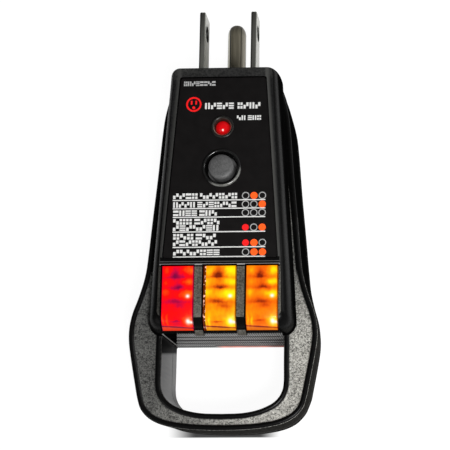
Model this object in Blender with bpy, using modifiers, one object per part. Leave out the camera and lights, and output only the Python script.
"""Outlet tester plug: a three-prong plug-in receptacle tester with a finger loop.

Frame: origin midway between the two flat blades on the plug end face, +X to the
right seen from the label, +Y out along the prongs, +Z out of the label face.
Dimensions are millimetres and are scaled to metres when meshes are made.
"""
import bpy
import bmesh
from math import sin, cos, pi
from mathutils import Vector

MM = 0.001
GAP = 0.3                      # clearance between pieces that touch

# ---- plug, to the common 15 A three-prong pattern
BLADE_PITCH = 12.7
BLADE_THICK = 1.4
BLADE_WIDE = 6.35
BLADE_OUT = 16.5
PRONG_IN = 7.9                 # length of every prong behind the end face
BLADE_HOLE_Y = 11.9
BLADE_HOLE_R = 1.95
BLADE_CHAMFER = 0.35
PIN_DROP = 11.9                # ground pin axis below the blade centre line
PIN_R = 2.35
PIN_OUT = 19.3

# ---- housing levels along Z
Z_FACE = 8.8                   # frame round the label
Z_LABEL = Z_FACE - 0.35        # front of the label panel
Z_RECESS = 7.7                 # floor under the label panel
Z_FRONT_IN = 6.0               # inside of the front wall
Z_WINDOW_SILL = 5.6
Z_BEAD = 2.5                   # raised rim
Z_FLANGE = 2.1                 # front of the loop and flange
Z_SPLIT = -11.0                # joint line of the two shells
Z_BACK = -16.0
WALL = 1.8
Z_THROUGH = (-20.0, 14.0)      # reach of a cutter through the whole housing
Z_FACE_CUT = (5.0, 12.0)       # reach of a cutter through the front wall
Z_CUT_TOP = Z_FACE_CUT[1]

# ---- places along Y
END_WALL_Y = -64.6             # end wall of the instrument block
LOOP_END_Y = -87.1
LABEL_TOP_Y, LABEL_BOT_Y = -2.8, -47.2
WINDOW_TOP_Y = -48.8
LED_Y = -15.25
BUTTON_Y = -25.4

# ---- windows, left to right, with a bar on each side of the centre one
WINDOW_HALF = 4.0              # half width of the centre window
SIDE_WINDOW = (5.97, 13.75)
WINDOW_X = ((-SIDE_WINDOW[1], -SIDE_WINDOW[0]), (-WINDOW_HALF, WINDOW_HALF), SIDE_WINDOW)
BAR_X = (WINDOW_HALF + SIDE_WINDOW[0]) / 2
BAR_HALF = (SIDE_WINDOW[0] - WINDOW_HALF) / 2

# ---- controls
LED_HOLE_R = 2.6
BUTTON_HOLE_R = 4.5
BUTTON_R = 3.05
BUTTON_FOOT_R = 3.9
Z_BUTTON_FOOT = 4.9            # underside of the button

# ---- inside; screw and post places are (x, y)
BOARD_TOP, BOARD_THICK = -2.0, 1.6
Z_LEAD_END = BOARD_TOP + GAP   # lower end of the component leads
SCREWS = ((12.0, -12.0), (-12.0, -12.0), (18.5, -63.5), (-18.5, -63.5))
POSTS = ((6.5, -15.0), (-6.5, -15.0), (8.5, -45.5), (-8.5, -45.5))

for ob in list(bpy.data.objects):
    bpy.data.objects.remove(ob, do_unlink=True)

parts = bpy.data.collections.new("outlet_tester_plug")
tools = bpy.data.collections.new("cutters")
bpy.context.scene.collection.children.link(parts)
bpy.context.scene.collection.children.link(tools)


# ------------------------------------------------------------------ materials
def material(name, rgb, roughness, metallic=0.0, transmission=0.0):
    mat = bpy.data.materials.new(name)
    mat.use_nodes = True
    inputs = mat.node_tree.nodes["Principled BSDF"].inputs
    inputs["Base Color"].default_value = (*rgb, 1.0)
    inputs["Roughness"].default_value = roughness
    inputs["Metallic"].default_value = metallic
    inputs["Transmission Weight"].default_value = transmission
    mat.diffuse_color = (*rgb, 1.0)
    return mat


SHELL = material("black_abs", rgb=(0.018, 0.018, 0.02), roughness=0.42)
LABEL = material("label_film", rgb=(0.008, 0.007, 0.008), roughness=0.55)
BUTTON = material("grey_button", rgb=(0.16, 0.16, 0.16), roughness=0.5)
BEZEL = material("bezel_plastic", rgb=(0.02, 0.02, 0.02), roughness=0.35)
CHROME = material("bright_ring", rgb=(0.55, 0.54, 0.5), roughness=0.3, metallic=0.6)
RED = material("red_lens", rgb=(0.8, 0.01, 0.01), roughness=0.2, transmission=0.4)
AMBER = material("amber_lens", rgb=(1.0, 0.45, 0.02), roughness=0.2, transmission=0.4)
NICKEL = material("plated_blade", rgb=(0.55, 0.54, 0.5), roughness=0.3, metallic=1.0)
STEEL = material("steel_screw", rgb=(0.4, 0.4, 0.41), roughness=0.35, metallic=1.0)
SPRING = material("spring_wire", rgb=(0.45, 0.45, 0.46), roughness=0.3, metallic=1.0)
LAMINATE = material("circuit_laminate", rgb=(0.02, 0.11, 0.05), roughness=0.5)
WHITE = material("white_insert", rgb=(0.75, 0.74, 0.7), roughness=0.5)
GLASS = material("lamp_glass", rgb=(0.9, 0.75, 0.6), roughness=0.1, transmission=0.7)
RESISTOR = material("resistor_coat", rgb=(0.5, 0.36, 0.2), roughness=0.45)
SWITCH = material("switch_plastic", rgb=(0.03, 0.03, 0.035), roughness=0.4)
BLACK_WIRE = material("black_wire", rgb=(0.02, 0.02, 0.02), roughness=0.45)
WHITE_WIRE = material("white_wire", rgb=(0.75, 0.75, 0.73), roughness=0.45)
GREEN_WIRE = material("green_wire", rgb=(0.02, 0.22, 0.06), roughness=0.45)


# ------------------------------------------------------------- solid builders
# A solid given a material is a part; one without is a hidden boolean helper.
TURN_FROM_Z = {"X": (0, pi / 2, 0), "Y": (-pi / 2, 0, 0), "Z": (0, 0, 0)}


def place(name, mesh, mat):
    ob = bpy.data.objects.new(name, mesh)
    if mat is None:
        tools.objects.link(ob)
        ob.hide_render = True
        ob.display_type = "WIRE"
    else:
        parts.objects.link(ob)
        mesh.materials.clear()
        mesh.materials.append(mat)
    return ob


def place_bmesh(name, bm, mat):
    mesh = bpy.data.meshes.new(name)
    bm.to_mesh(mesh)
    bm.free()
    return place(name, mesh, mat)


def place_curve(name, curve, mat):
    """Plain mesh object made from a curve."""
    source = bpy.data.objects.new(name, curve)
    tools.objects.link(source)
    bpy.context.view_layer.update()
    depsgraph = bpy.context.evaluated_depsgraph_get()
    mesh = bpy.data.meshes.new_from_object(source.evaluated_get(depsgraph))
    bpy.data.objects.remove(source, do_unlink=True)
    bm = bmesh.new()
    bm.from_mesh(mesh)
    bmesh.ops.remove_doubles(bm, verts=bm.verts[:], dist=0.000002)
    bmesh.ops.recalc_face_normals(bm, faces=bm.faces[:])
    bm.to_mesh(mesh)
    bm.free()
    return place(name, mesh, mat)


def smooth(ob, angle=0.6):
    ob.data.shade_smooth()
    ob.data.set_sharp_from_angle(angle=angle)


def stack(name, levels, mat=None):
    """Solid drawn up through matching outlines, given as (outline, z)."""
    def place_key(vert):
        return tuple(round(c, 9) for c in vert.co.xy)

    bm = bmesh.new()
    loop, z = levels[0]
    ring = [bm.verts.new((x * MM, y * MM, z * MM)) for x, y in loop]
    cap = bm.faces.new(ring)
    cap.normal_update()
    for step, (loop, z) in enumerate(levels[1:]):
        geom = bmesh.ops.extrude_face_region(bm, geom=[cap])["geom"]
        new_cap = [item for item in geom if isinstance(item, bmesh.types.BMFace)][0]
        if step:                            # only the first outline stays as a cap
            bmesh.ops.delete(bm, geom=[cap], context="FACES_ONLY")
        # extruded corners come in any order, so match them by place before moving them
        index_at = {place_key(vert): i for i, vert in enumerate(ring)}
        ring = [None] * len(ring)
        for corner in new_cap.loops:
            vert = corner.vert
            i = index_at[place_key(vert)]
            vert.co = (loop[i][0] * MM, loop[i][1] * MM, z * MM)
            ring[i] = vert
        cap = new_cap
    bmesh.ops.recalc_face_normals(bm, faces=bm.faces[:])
    return place_bmesh(name, bm, mat)


def box(name, x, y, z, mat=None):
    """Block between the (low, high) pairs x, y and z."""
    bm = bmesh.new()
    bmesh.ops.create_cube(bm, size=1.0)
    size = Vector((x[1] - x[0], y[1] - y[0], z[1] - z[0])) * MM
    bmesh.ops.scale(bm, vec=size, verts=bm.verts[:])
    ob = place_bmesh(name, bm, mat)
    ob.location = Vector((x[1] + x[0], y[1] + y[0], z[1] + z[0])) * MM / 2
    return ob


def cylinder(name, radius, low, high, at, sides=24, axis="Z"):
    """Round boolean helper; at holds the two coordinates across the axis, in XYZ order."""
    bm = bmesh.new()
    bmesh.ops.create_cone(bm, cap_ends=True, segments=sides, radius1=radius * MM,
                          radius2=radius * MM, depth=(high - low) * MM)
    ob = place_bmesh(name, bm, None)
    centre = list(at)
    centre.insert("XYZ".index(axis), (low + high) / 2)
    ob.rotation_euler = TURN_FROM_Z[axis]
    ob.location = [c * MM for c in centre]
    return ob


def plate(name, loop, low, high, mat=None, axis="Z"):
    """Outline drawn out from low to high. It is (x, y) along Z and (y, z) along X."""
    curve = bpy.data.curves.new(name, "CURVE")
    curve.dimensions = "2D"
    curve.fill_mode = "BOTH"
    curve.extrude = (high - low) / 2
    spline = curve.splines.new("POLY")
    spline.points.add(len(loop) - 1)
    for point, (a, b) in zip(spline.points, loop):
        point.co = (a, b, 0.0, 1.0)
    spline.use_cyclic_u = True
    ob = place_curve(name, curve, mat)
    bm = bmesh.new()                        # drawn in millimetres, then brought to size
    bm.from_mesh(ob.data)
    bmesh.ops.dissolve_limit(bm, angle_limit=0.0005, verts=bm.verts[:], edges=bm.edges[:])
    bmesh.ops.scale(bm, vec=(MM, MM, MM), verts=bm.verts[:])
    bm.to_mesh(ob.data)
    bm.free()
    middle = (low + high) / 2 * MM
    if axis == "X":
        ob.rotation_euler = (pi / 2, 0, pi / 2)
        ob.location = (middle, 0, 0)
    else:
        ob.location = (0, 0, middle)
    return ob


def turned(name, profile, at, mat, steps, closed=False, axis="Z"):
    """Body of revolution from (radius, height) points, with its origin at (x, y, z)."""
    bm = bmesh.new()
    verts = [bm.verts.new((radius * MM, 0, height * MM)) for radius, height in profile]
    for start, end in zip(verts, verts[1:]):
        bm.edges.new((start, end))
    if closed:
        bm.edges.new((verts[-1], verts[0]))
    ob = place_bmesh(name, bm, mat)
    screw = ob.modifiers.new("turn", "SCREW")
    screw.axis = "Z"
    screw.angle = 2 * pi
    screw.steps = screw.render_steps = steps
    screw.use_merge_vertices = True
    screw.merge_threshold = 0.00001
    screw.use_smooth_shade = False
    ob.rotation_euler = TURN_FROM_Z[axis]
    ob.location = Vector(at) * MM
    return ob


def wire(name, points, radius, mat=None, resolution=1):
    """Round wire through the points, with filled ends."""
    curve = bpy.data.curves.new(name, "CURVE")
    curve.dimensions = "3D"
    curve.bevel_depth = radius * MM
    curve.bevel_resolution = resolution
    curve.use_fill_caps = True
    spline = curve.splines.new("POLY")
    spline.points.add(len(points) - 1)
    for point, (x, y, z) in zip(spline.points, points):
        point.co = (x * MM, y * MM, z * MM, 1.0)
    return place_curve(name, curve, mat)


def boolean(ob, others, operation):
    for other in others:
        modifier = ob.modifiers.new(operation.lower(), "BOOLEAN")
        modifier.operation = operation
        modifier.solver = "EXACT"
        modifier.object = other


def cut(ob, *others):
    boolean(ob, others, "DIFFERENCE")


def join(ob, *others):
    boolean(ob, others, "UNION")


# ------------------------------------------------------------ outline helpers
def through(points, per):
    """Smooth curve through the stations, with per points to each span."""
    out = []
    last = len(points) - 1
    for i in range(last):
        span = (points[max(i - 1, 0)], points[i], points[i + 1], points[min(i + 2, last)])
        for k in range(per):
            t = k / per
            out.append(tuple(
                0.5 * (2 * b + (c - a) * t + (2 * a - 5 * b + 4 * c - d) * t * t
                       + (3 * b - a - 3 * c + d) * t ** 3)
                for a, b, c, d in zip(*span)))
    out.append(tuple(points[-1]))
    return out


def arc(x, y, radius, start, end, steps):
    angles = [start + (end - start) * k / steps for k in range(steps + 1)]
    return [(x + radius * cos(angle), y + radius * sin(angle)) for angle in angles]


def mirrored(half):
    """Closed loop from the right half, which runs from the top centre to the bottom centre."""
    return list(half) + [(-x, y) for x, y in reversed(half) if x > 1e-6]


def offset(loop, distance):
    """Closed clockwise loop moved inward by distance."""
    out = []
    for i in range(len(loop)):
        before, here, after = Vector(loop[i - 1]), Vector(loop[i]), Vector(loop[(i + 1) % len(loop)])
        edge_in = (here - before).normalized()
        edge_out = (after - here).normalized()
        normal = Vector((edge_in.y, -edge_in.x))
        mitre = normal + Vector((edge_out.y, -edge_out.x))
        # the lower limit keeps sharp corners from running away
        scale = distance / max(0.55, mitre.dot(normal) / mitre.length) / mitre.length
        out.append((here.x + mitre.x * scale, here.y + mitre.y * scale))
    return out


# ------------------------------------------------------------ housing outline
# right side of the housing, (x, y) from the plug end to the loop end
SIDE = ((12.95, -1.6), (14.0, -4.7), (15.3, -9.8), (15.95, -15.0), (16.85, -26.0), (17.8, -36.0),
        (18.65, -45.5), (19.25, -50.5), (20.35, -55.0), (21.6, -59.0), (22.15, -62.3),
        (22.2, -65.5), (21.65, -69.5), (20.55, -75.5), (19.75, -79.5), (18.75, -82.2),
        (16.4, -84.5), (12.6, -86.0), (6.8, -86.85), (0.0, LOOP_END_Y))
SIDE_CORNER_R = 1.6
# right side of the loop hole, (x, y) away from the end wall
HOLE_SIDE = ((14.5, -65.8), (14.5, -71.0), (14.5, -76.0), (13.95, -78.3), (12.75, -80.0),
             (11.0, -81.2), (8.2, -82.3), (4.6, -82.95), (0.0, -83.1))
HOLE_CORNER_R = 0.4

outline = mirrored([(0.0, 0.0)]
                   + arc(SIDE[0][0] - SIDE_CORNER_R, -SIDE_CORNER_R, SIDE_CORNER_R,
                         pi / 2, 0.0, 4)[:-1]
                   + through(SIDE, 2))
hole = mirrored([(0.0, END_WALL_Y)]
                + arc(HOLE_SIDE[0][0] - HOLE_CORNER_R, END_WALL_Y - HOLE_CORNER_R, HOLE_CORNER_R,
                      pi / 2, 0.0, 2)[:-1]
                + through(HOLE_SIDE, 2))

DRAFT_WIDTH = 18.0                          # half width at which the draft is its full value
BLOCK_DRAFT, LOOP_DRAFT = 0.25, -0.2
DRAFT_TURN_Y, DRAFT_TURN_LENGTH = -48.0, 14.0
LOOP_TIP_Y, LOOP_TIP_LENGTH = -78.0, 5.0    # rounded end of the loop
LOOP_TIP_DRAFT, LOOP_TIP_SHRINK = 0.55, 0.975


def drafted(loop, sign):
    """Outer wall leans out with depth beside the block, and in round the loop.

    The sign is -1 for the front outline and 1 for the one at the joint line.
    """
    out = []
    for x, y in loop:
        draft = BLOCK_DRAFT
        if y <= DRAFT_TURN_Y:
            fall = (BLOCK_DRAFT - LOOP_DRAFT) * (DRAFT_TURN_Y - y) / DRAFT_TURN_LENGTH
            draft = max(LOOP_DRAFT, BLOCK_DRAFT - fall)
        if sign > 0 and y < LOOP_TIP_Y:
            draft -= LOOP_TIP_DRAFT * min(1.0, (LOOP_TIP_Y - y) / LOOP_TIP_LENGTH)
            y = LOOP_TIP_Y + (y - LOOP_TIP_Y) * LOOP_TIP_SHRINK
        out.append((x * (1.0 + sign * draft / DRAFT_WIDTH), y))
    return out


outline_front = drafted(outline, -1.0)
outline_split = drafted(outline, 1.0)
inner = [(x, y) for x, y in offset(outline, WALL) if y < -WALL - 0.1]

# --------------------------------------------------------------- raised block
# half widths of the block, (y, half width), at its foot and at its face
FOOT_WIDTHS = ((0.0, 13.35), (-4.0, 13.6), (-48.0, 16.65), (-62.0, 17.55), (-66.0, 17.6))
FACE_WIDTHS = ((0.0, 11.75), (-4.0, 11.9), (-47.0, 14.25), (-62.0, 14.5), (-66.0, 14.5))
# flank of the block: (share of the way from foot to face outline, z)
FLANK = ((0.0, 0.4), (0.0, 2.1), (0.08, 4.4), (0.27, 6.4), (0.54, 7.8), (0.8, 8.5),
         (1.0, Z_FACE))
BLOCK_CAVITY_INSET = 2.4


def block_half(top, bottom, top_radius, bottom_radius, widths):
    """Right half outline of the block between top and bottom, with rounded corners."""
    def width(y):
        for (y_a, width_a), (y_b, width_b) in zip(widths, widths[1:]):
            if y >= y_b:
                return width_a + (width_b - width_a) * (y - y_a) / (y_b - y_a)
        return widths[-1][1]

    y_start, y_end = top - top_radius, bottom + bottom_radius
    points = [(0.0, top)] + arc(width(y_start) - top_radius, y_start, top_radius, pi / 2, 0.0, 4)
    steps = 8
    for k in range(1, steps):
        y = y_start + (y_end - y_start) * k / steps
        points.append((width(y), y))
    points += arc(width(y_end) - bottom_radius, y_end, bottom_radius, 0.0, -pi / 2, 5)
    return points + [(0.0, bottom)]


def block_level(share):
    foot = block_half(-0.12, -64.9, 1.7, 3.4, FOOT_WIDTHS)
    face = block_half(-0.5, -61.3, 1.3, 1.6, FACE_WIDTHS)
    return mirrored([(xa + (xb - xa) * share, ya + (yb - ya) * share)
                     for (xa, ya), (xb, yb) in zip(foot, face)])


# -------------------------------------------------------------- label outline
LABEL_TOP_HALF, LABEL_BOT_HALF = 10.35, 13.5
LABEL_CORNER_R = 0.6


def label_loop(inset):
    top, bottom = LABEL_TOP_Y - inset, LABEL_BOT_Y + inset
    radius = LABEL_CORNER_R
    return mirrored(
        [(0.0, top)]
        + arc(LABEL_TOP_HALF - inset - radius, top - radius, radius, pi / 2, 0.0, 2)
        + arc(LABEL_BOT_HALF - inset - radius, bottom + radius, radius, 0.0, -pi / 2, 2)
        + [(0.0, bottom)])


def cut_control_holes(ob, prefix=""):
    """Round holes for the indicator and the button."""
    cut(ob, cylinder(f"{prefix}{'_' if prefix else ''}led{'' if prefix else '_hole'}_cutter",
                     LED_HOLE_R, *Z_FACE_CUT, (0, LED_Y)),
        cylinder(f"{prefix}{'_' if prefix else ''}button{'' if prefix else '_hole'}_cutter",
                 BUTTON_HOLE_R, *Z_FACE_CUT, (0, BUTTON_Y), sides=32))


# ------------------------------------------------- cutters shared by the parts
PRONG_CUT_Y = (-20.0, 3.0)
SLOT_HALF = BLADE_WIDE / 2 + GAP

hole_cut = plate("hole_cutter", hole, *Z_THROUGH)
prong_cuts = []
for side, x in (("hot", BLADE_PITCH / 2), ("neutral", -BLADE_PITCH / 2)):
    prong_cuts.append(box(f"{side}_slot_cutter",
                          (x - BLADE_THICK / 2 - GAP, x + BLADE_THICK / 2 + GAP),
                          PRONG_CUT_Y, (-SLOT_HALF, SLOT_HALF)))
pin_bore = cylinder("pin_bore_cutter", PIN_R + GAP, *PRONG_CUT_Y, (0, -PIN_DROP), axis="Y")
prong_cuts.append(pin_bore)


def shell_cavity(name, wall_name, low, high):
    """Hollow of a shell, less the wall round the loop hole."""
    cavity = plate(name, inner, low, high)
    cut(cavity, plate(wall_name, offset(hole, -WALL), *Z_THROUGH))
    return cavity


# ------------------------------------------------------------- front housing
EDGE_STEPS = ((0.3, 2.25), (0.75, Z_BEAD), (1.1, Z_FLANGE))      # (inset, z)
HOLE_RIM = ((-0.95, 1.0), (-0.95, 2.2), (-0.6, Z_BEAD))          # (inset, z)
# foot of each bar between the windows, (y, z), standing proud of the end wall
TAB = ((-63.5, 6.6), (-64.15, 6.25), (-64.7, 5.4), (-64.95, 4.7), (-64.95, 3.8), (-63.5, 3.8))
BOSS_R = 2.5
SCREW_BORE_R = 1.5
GROOVE_Z = (0.2, -4.8, -8.7)
GROOVE_HALF_LENGTH, GROOVE_HALF_WIDTH, GROOVE_DEPTH = 13.2, 0.4, 0.35

front = stack("front_housing",
              [(outline_split, Z_SPLIT), (outline_front, 1.5)]
              + [(offset(outline_front, inset), z) for inset, z in EDGE_STEPS], SHELL)
join(front,
     stack("block_form", [(block_level(share), z) for share, z in FLANK]),
     stack("hole_rim_form", [(offset(hole, inset), z) for inset, z in HOLE_RIM]))
cavity_widths = tuple((y, width - BLOCK_CAVITY_INSET) for y, width in FOOT_WIDTHS)
cut(front, hole_cut,
    shell_cavity("cavity_cutter", "hole_wall_form", Z_SPLIT - 1.0, Z_FLANGE - WALL),
    plate("block_cavity_cutter", mirrored(block_half(-2.0, -62.6, 1.0, 1.4, cavity_widths)),
          -1.0, Z_FRONT_IN),
    plate("label_recess_cutter", label_loop(0.0), Z_RECESS, Z_CUT_TOP))
for i, window in enumerate(WINDOW_X, 1):
    cut(front, box(f"window_cutter_{i}", window, (-70.0, WINDOW_TOP_Y),
                   (Z_WINDOW_SILL, Z_CUT_TOP)))
for i, x in enumerate((-BAR_X, BAR_X), 1):
    join(front, plate(f"bar_tab_{i}", TAB, x - BAR_HALF, x + BAR_HALF, axis="X"))
cut_control_holes(front)
for i, at in enumerate(SCREWS, 1):
    join(front, cylinder(f"boss_form_{i}", BOSS_R, Z_SPLIT + 0.3, 1.0, at, sides=16))
    cut(front, cylinder(f"boss_bore_{i}", SCREW_BORE_R, Z_SPLIT - 1.0, -1.5, at, sides=12))
cut(front, *prong_cuts)
# shallow horizontal grooves across the end wall inside the loop
for i, z in enumerate(GROOVE_Z, 1):
    cut(front, box(f"end_groove_{i}", (-GROOVE_HALF_LENGTH, GROOVE_HALF_LENGTH),
                   (END_WALL_Y - 1.0, END_WALL_Y + GROOVE_DEPTH),
                   (z - GROOVE_HALF_WIDTH, z + GROOVE_HALF_WIDTH)))
smooth(front, 0.5)

# -------------------------------------------------------------- rear housing
PILLAR_R = 3.4
POST_R = 1.4
HEAD_RECESS_R = 2.7
Z_PILLAR_FOOT = Z_BACK + 0.6   # pillars and posts start inside the back wall

rear = stack("rear_housing",
             [(offset(outline_split, 1.3), Z_BACK), (offset(outline_split, 0.5), Z_BACK + 0.35),
              (outline_split, Z_BACK + 1.3), (outline_split, Z_SPLIT - GAP)], SHELL)
cut(rear, hole_cut,
    shell_cavity("rear_cavity_cutter", "rear_hole_wall_form", Z_BACK + 1.7, Z_SPLIT + 2.0))
for i, at in enumerate(SCREWS, 1):
    join(rear, cylinder(f"screw_pillar_{i}", PILLAR_R, Z_PILLAR_FOOT, Z_SPLIT - 0.9, at,
                        sides=20))
for i, at in enumerate(POSTS, 1):
    join(rear, cylinder(f"board_post_{i}", POST_R, Z_PILLAR_FOOT,
                        BOARD_TOP - BOARD_THICK - GAP, at, sides=12))
for i, at in enumerate(SCREWS, 1):
    cut(rear,
        cylinder(f"head_recess_{i}", HEAD_RECESS_R, Z_BACK - 1.0, Z_BACK + 2.1, at, sides=20),
        cylinder(f"shank_hole_{i}", SCREW_BORE_R, Z_BACK - 1.0, Z_SPLIT + 1.0, at, sides=12))
cut(rear, pin_bore)
smooth(rear, 0.5)

# ------------------------------------------------------ label and its fittings
# profiles are (radius, z)
BUTTON_BEZEL = ((3.85, Z_LABEL + 0.36), (3.98, Z_LABEL + 0.56), (4.25, Z_LABEL + 0.66),
                (4.5, Z_LABEL + 0.58), (4.65, Z_LABEL + 0.36), (4.65, Z_LABEL + 0.2),
                (4.2, Z_LABEL + 0.2), (4.2, 6.3), (3.55, 6.3), (3.55, 6.75), (3.85, 7.1))
TEST_BUTTON = ((0.0, 10.15), (1.7, 10.1), (2.6, 9.95), (2.95, 9.75), (BUTTON_R, 9.4),
               (BUTTON_R, 5.9), (BUTTON_FOOT_R, 5.9), (BUTTON_FOOT_R, Z_BUTTON_FOOT),
               (0.0, Z_BUTTON_FOOT))
LED_BEZEL = ((2.0, Z_LABEL - 0.5), (2.06, Z_LABEL + 0.15), (2.3, Z_LABEL + 0.42),
             (2.52, Z_LABEL + 0.42), (2.75, Z_LABEL + 0.2), (2.3, Z_LABEL + 0.2), (2.3, 6.3),
             (2.0, 6.3))
LED = ((0.0, 9.1), (0.7, 8.96), (1.3, 8.5), (1.65, 7.85), (1.75, 7.3), (1.75, 5.4),
       (2.05, 5.4), (2.05, 4.5), (0.0, 4.5))
LED_LEAD_X, LED_LEAD_R = 0.9, 0.28

label = plate("label_panel", label_loop(0.2), Z_RECESS + 0.2, Z_LABEL, LABEL)
cut_control_holes(label, "label")

button_at, led_at = (0, BUTTON_Y, 0), (0, LED_Y, 0)
smooth(turned("button_bezel", BUTTON_BEZEL, button_at, BEZEL, steps=28, closed=True))
smooth(turned("test_button", TEST_BUTTON, button_at, BUTTON, steps=28))
smooth(turned("led_bezel", LED_BEZEL, led_at, CHROME, steps=20, closed=True))
led = turned("indicator_led", LED, led_at, RED, steps=20)
for i, x in enumerate((-LED_LEAD_X, LED_LEAD_X), 1):
    join(led, cylinder(f"led_lead_{i}", LED_LEAD_R, Z_LEAD_END, 5.0, (x, LED_Y), sides=8))

# --------------------------------------------------------------------- lenses
# strip that covers a window and rolls over the lower end of the block, (y, z)
LENS_GAP = 0.25
LENS_FRONT = Z_FACE - 0.3
LENS_BACK = LENS_FRONT - 1.5
LENS = ((WINDOW_TOP_Y - LENS_GAP, LENS_FRONT), (-61.2, LENS_FRONT), (-62.0, 8.15),
        (-62.8, 7.5), (-63.5, 6.6), (-63.95, 5.9), (-62.45, 5.9), (-62.0, 6.4),
        (-61.3, 6.85), (-60.8, LENS_BACK), (WINDOW_TOP_Y - LENS_GAP, LENS_BACK))

for (low, high), name, mat in zip(WINDOW_X,
                                  ("red_lens", "amber_lens_center", "amber_lens_right"),
                                  (RED, AMBER, AMBER)):
    plate(name, LENS, low + LENS_GAP, high - LENS_GAP, mat, axis="X")

# ----------------------------------------------------------- prongs and insert
TIP_LENGTH = 1.4 * BLADE_CHAMFER
# (radius, y) from the rounded tip inward
GROUND_PIN = ((0.0, PIN_OUT), (0.7, PIN_OUT - 0.08), (1.25, PIN_OUT - 0.33),
              (1.65, PIN_OUT - 0.7), (1.95, PIN_OUT - 1.15), (2.2, PIN_OUT - 1.75),
              (2.32, PIN_OUT - 2.4), (PIN_R, PIN_OUT - 3.2), (PIN_R, -PRONG_IN),
              (0.0, -PRONG_IN))


def blade(name, x):
    half = BLADE_WIDE / 2
    tip_half = half - BLADE_CHAMFER
    loop = [(-PRONG_IN, half), (BLADE_OUT - TIP_LENGTH, half), (BLADE_OUT, tip_half),
            (BLADE_OUT, -tip_half), (BLADE_OUT - TIP_LENGTH, -half), (-PRONG_IN, -half)]
    ob = plate(name, loop, x - BLADE_THICK / 2, x + BLADE_THICK / 2, NICKEL, axis="X")
    cut(ob, cylinder(name + "_hole_cutter", BLADE_HOLE_R, x - 4.0, x + 4.0,
                     (BLADE_HOLE_Y, 0), sides=20, axis="X"))


blade("hot_blade", BLADE_PITCH / 2)
blade("neutral_blade", -BLADE_PITCH / 2)
smooth(turned("ground_pin", GROUND_PIN, (0, 0, -PIN_DROP), NICKEL, steps=24, axis="Y"))
carrier = box("blade_carrier", (-9.2, 9.2), (-7.6, -2.1), (-13.9, 5.4), WHITE)
cut(carrier, *prong_cuts)

# -------------------------------------------------------- circuit board, switch
# right half of the board, (x, y)
BOARD_HALF = ((0.0, -9.9), (8.3, -9.9), (8.6, -10.2), (9.1, -30.0), (12.4, -34.0),
              (12.8, -61.5), (12.5, -61.8), (0.0, -61.8))
SWITCH_HALF = 3.5
SWITCH_TOP = 1.4
PLUNGER = ((0.0, 4.6), (1.2, 4.6), (1.5, 4.3), (1.5, 0.7), (0.0, 0.7))     # (radius, z)
COIL_TURNS, COIL_STEPS, COIL_R = 3.5, 12, 2.55     # steps are points to a turn
COIL_WIRE_R = 0.2
COIL_END = 0.22                # wire centre from its seat, before clearance
COIL_LOW = SWITCH_TOP + COIL_END + GAP
COIL_HIGH = Z_BUTTON_FOOT - COIL_END - 0.2

plate("circuit_board", mirrored(BOARD_HALF), BOARD_TOP - BOARD_THICK, BOARD_TOP, LAMINATE)

switch = box("switch_body", (-SWITCH_HALF, SWITCH_HALF),
             (BUTTON_Y - SWITCH_HALF, BUTTON_Y + SWITCH_HALF),
             (BOARD_TOP + 0.25, SWITCH_TOP), SWITCH)
cut(switch, cylinder("switch_bore_cutter", 1.9, -0.9, 3.0, (0, BUTTON_Y), sides=20))
smooth(turned("switch_plunger", PLUNGER, button_at, BUTTON, steps=20))

coil_count = int(COIL_TURNS * COIL_STEPS)
coil = []
for k in range(coil_count + 1):
    angle = 2 * pi * k / COIL_STEPS
    coil.append((COIL_R * cos(angle), BUTTON_Y + COIL_R * sin(angle),
                 COIL_LOW + (COIL_HIGH - COIL_LOW) * k / coil_count))
wire("button_spring", coil, COIL_WIRE_R, SPRING, resolution=2)

# ---------------------------------------------------------------------- lamps
TRAY_TOP = 5.3
TRAY_END_X = 13.3              # centre of each outer wall
TRAY_WALL_HALF = 0.45
LAMP_PITCH = 9.15
LAMP_Y, LAMP_Z = -55.0, 2.2
# (radius, y from the lamp origin)
LAMP = ((0.0, 5.4), (1.1, 5.15), (1.9, 4.5), (2.3, 3.4), (2.4, 2.2), (2.4, -4.2), (2.0, -4.9),
        (0.0, -4.9))
LAMP_LEAD_X, LAMP_LEAD_Y, LAMP_LEAD_R = 1.2, -59.3, 0.25

# tray with a cell for each lamp
tray = box("lamp_divider", (-13.8, 13.8), (-48.4, -47.4), (BOARD_TOP + GAP, TRAY_TOP), WHITE)
for i, x in enumerate((-TRAY_END_X, -BAR_X, BAR_X, TRAY_END_X), 1):
    # each wall is a hair lower than the last, so that no two tops share a plane
    join(tray, box(f"divider_wall_{i}", (x - TRAY_WALL_HALF, x + TRAY_WALL_HALF),
                   (-61.4, -48.0), (BOARD_TOP + GAP, TRAY_TOP - 0.001 * i)))

for name, x in (("lamp_left", -LAMP_PITCH), ("lamp_center", 0.0), ("lamp_right", LAMP_PITCH)):
    lamp = turned(name, LAMP, (x, LAMP_Y, LAMP_Z), GLASS, steps=16, axis="Y")
    for i, shift in enumerate((-LAMP_LEAD_X, LAMP_LEAD_X), 1):
        join(lamp, cylinder(f"{name}_lead_{i}", LAMP_LEAD_R, Z_LEAD_END, 2.0,
                            (x + shift, LAMP_LEAD_Y), sides=8))

# ------------------------------------------------------------ axial resistors
RESISTOR_Y = -38.0
RESISTORS = (("lamp_resistor_left", -8.4, 1.15), ("lamp_resistor_center", -4.2, 1.15),
             ("lamp_resistor_right", 4.2, 1.15), ("test_resistor", 8.4, 1.5))  # name, x, radius
# one half of the body, (share of the radius, y from the middle)
RESISTOR_HALF = ((0.0, 3.2), (0.75, 3.2), (1.0, 2.8), (1.0, 2.0), (0.88, 1.7))
LEAD_SPAN, LEAD_BEND, LEAD_R = 4.6, 0.5, 0.28

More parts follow.
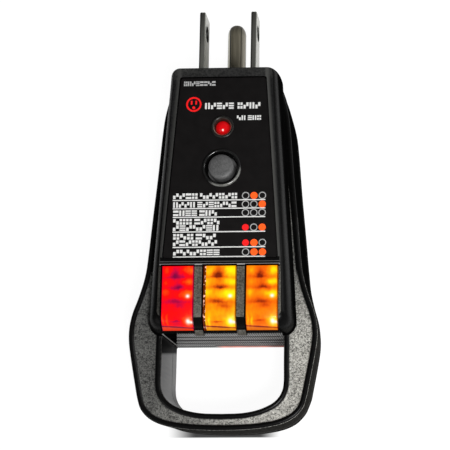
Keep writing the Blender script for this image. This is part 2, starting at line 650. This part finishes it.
for name, x, radius in RESISTORS:
    z = BOARD_TOP + 0.5 + radius
    profile = [(radius * share, y) for share, y in RESISTOR_HALF]
    profile += [(across, -y) for across, y in reversed(profile)]
    body = turned(name, profile, (x, RESISTOR_Y, z), RESISTOR, steps=14, axis="Y")
    lead = [(x, RESISTOR_Y + LEAD_SPAN, Z_LEAD_END), (x, RESISTOR_Y + LEAD_SPAN, z - LEAD_BEND),
            (x, RESISTOR_Y + LEAD_SPAN - LEAD_BEND, z),
            (x, RESISTOR_Y - LEAD_SPAN + LEAD_BEND, z),
            (x, RESISTOR_Y - LEAD_SPAN, z - LEAD_BEND), (x, RESISTOR_Y - LEAD_SPAN, Z_LEAD_END)]
    join(body, wire(name + "_lead", lead, LEAD_R))

# ------------------------------------- flexible leads from prongs to the board
# stations are (x, y, z)
HOT_LEAD = ((6.35, -8.9, 0.0), (6.6, -10.6, 0.2), (5.6, -12.6, 0.9), (4.2, -14.4, 0.4),
            (4.0, -15.0, -1.0))
NEUTRAL_LEAD = tuple((-x, y, z) for x, y, z in HOT_LEAD)
GROUND_LEAD = ((0.0, -8.9, -11.9), (0.0, -11.0, -11.6), (0.0, -13.4, -9.6),
               (0.0, -14.4, -7.0), (0.0, -14.5, -4.7))
FLEX_R = 0.65

wire("hot_wire", through(HOT_LEAD, 3), FLEX_R, BLACK_WIRE)
wire("neutral_wire", through(NEUTRAL_LEAD, 3), FLEX_R, WHITE_WIRE)
wire("ground_wire", through(GROUND_LEAD, 3), FLEX_R, GREEN_WIRE)

# --------------------------------------------------------------------- screws
# (radius, z) from the shank tip to the head
CASE_SCREW = ((0.0, -3.2), (0.5, -3.2), (1.15, -4.2), (1.15, -14.2), (2.3, -14.2),
              (2.3, -15.0), (1.7, -15.7), (0.0, -15.75))
DRIVE_LONG, DRIVE_SHORT = 1.4, 0.28        # half sizes of each arm of the cross

for i, (x, y) in enumerate(SCREWS, 1):
    screw = turned(f"case_screw_{i}", CASE_SCREW, (x, y, 0), STEEL, steps=16)
    for arm, half_x, half_y in (("a", DRIVE_LONG, DRIVE_SHORT), ("b", DRIVE_SHORT, DRIVE_LONG)):
        cut(screw, box(f"drive_{arm}_{i}", (x - half_x, x + half_x), (y - half_y, y + half_y),
                       (-17.0, -14.9)))
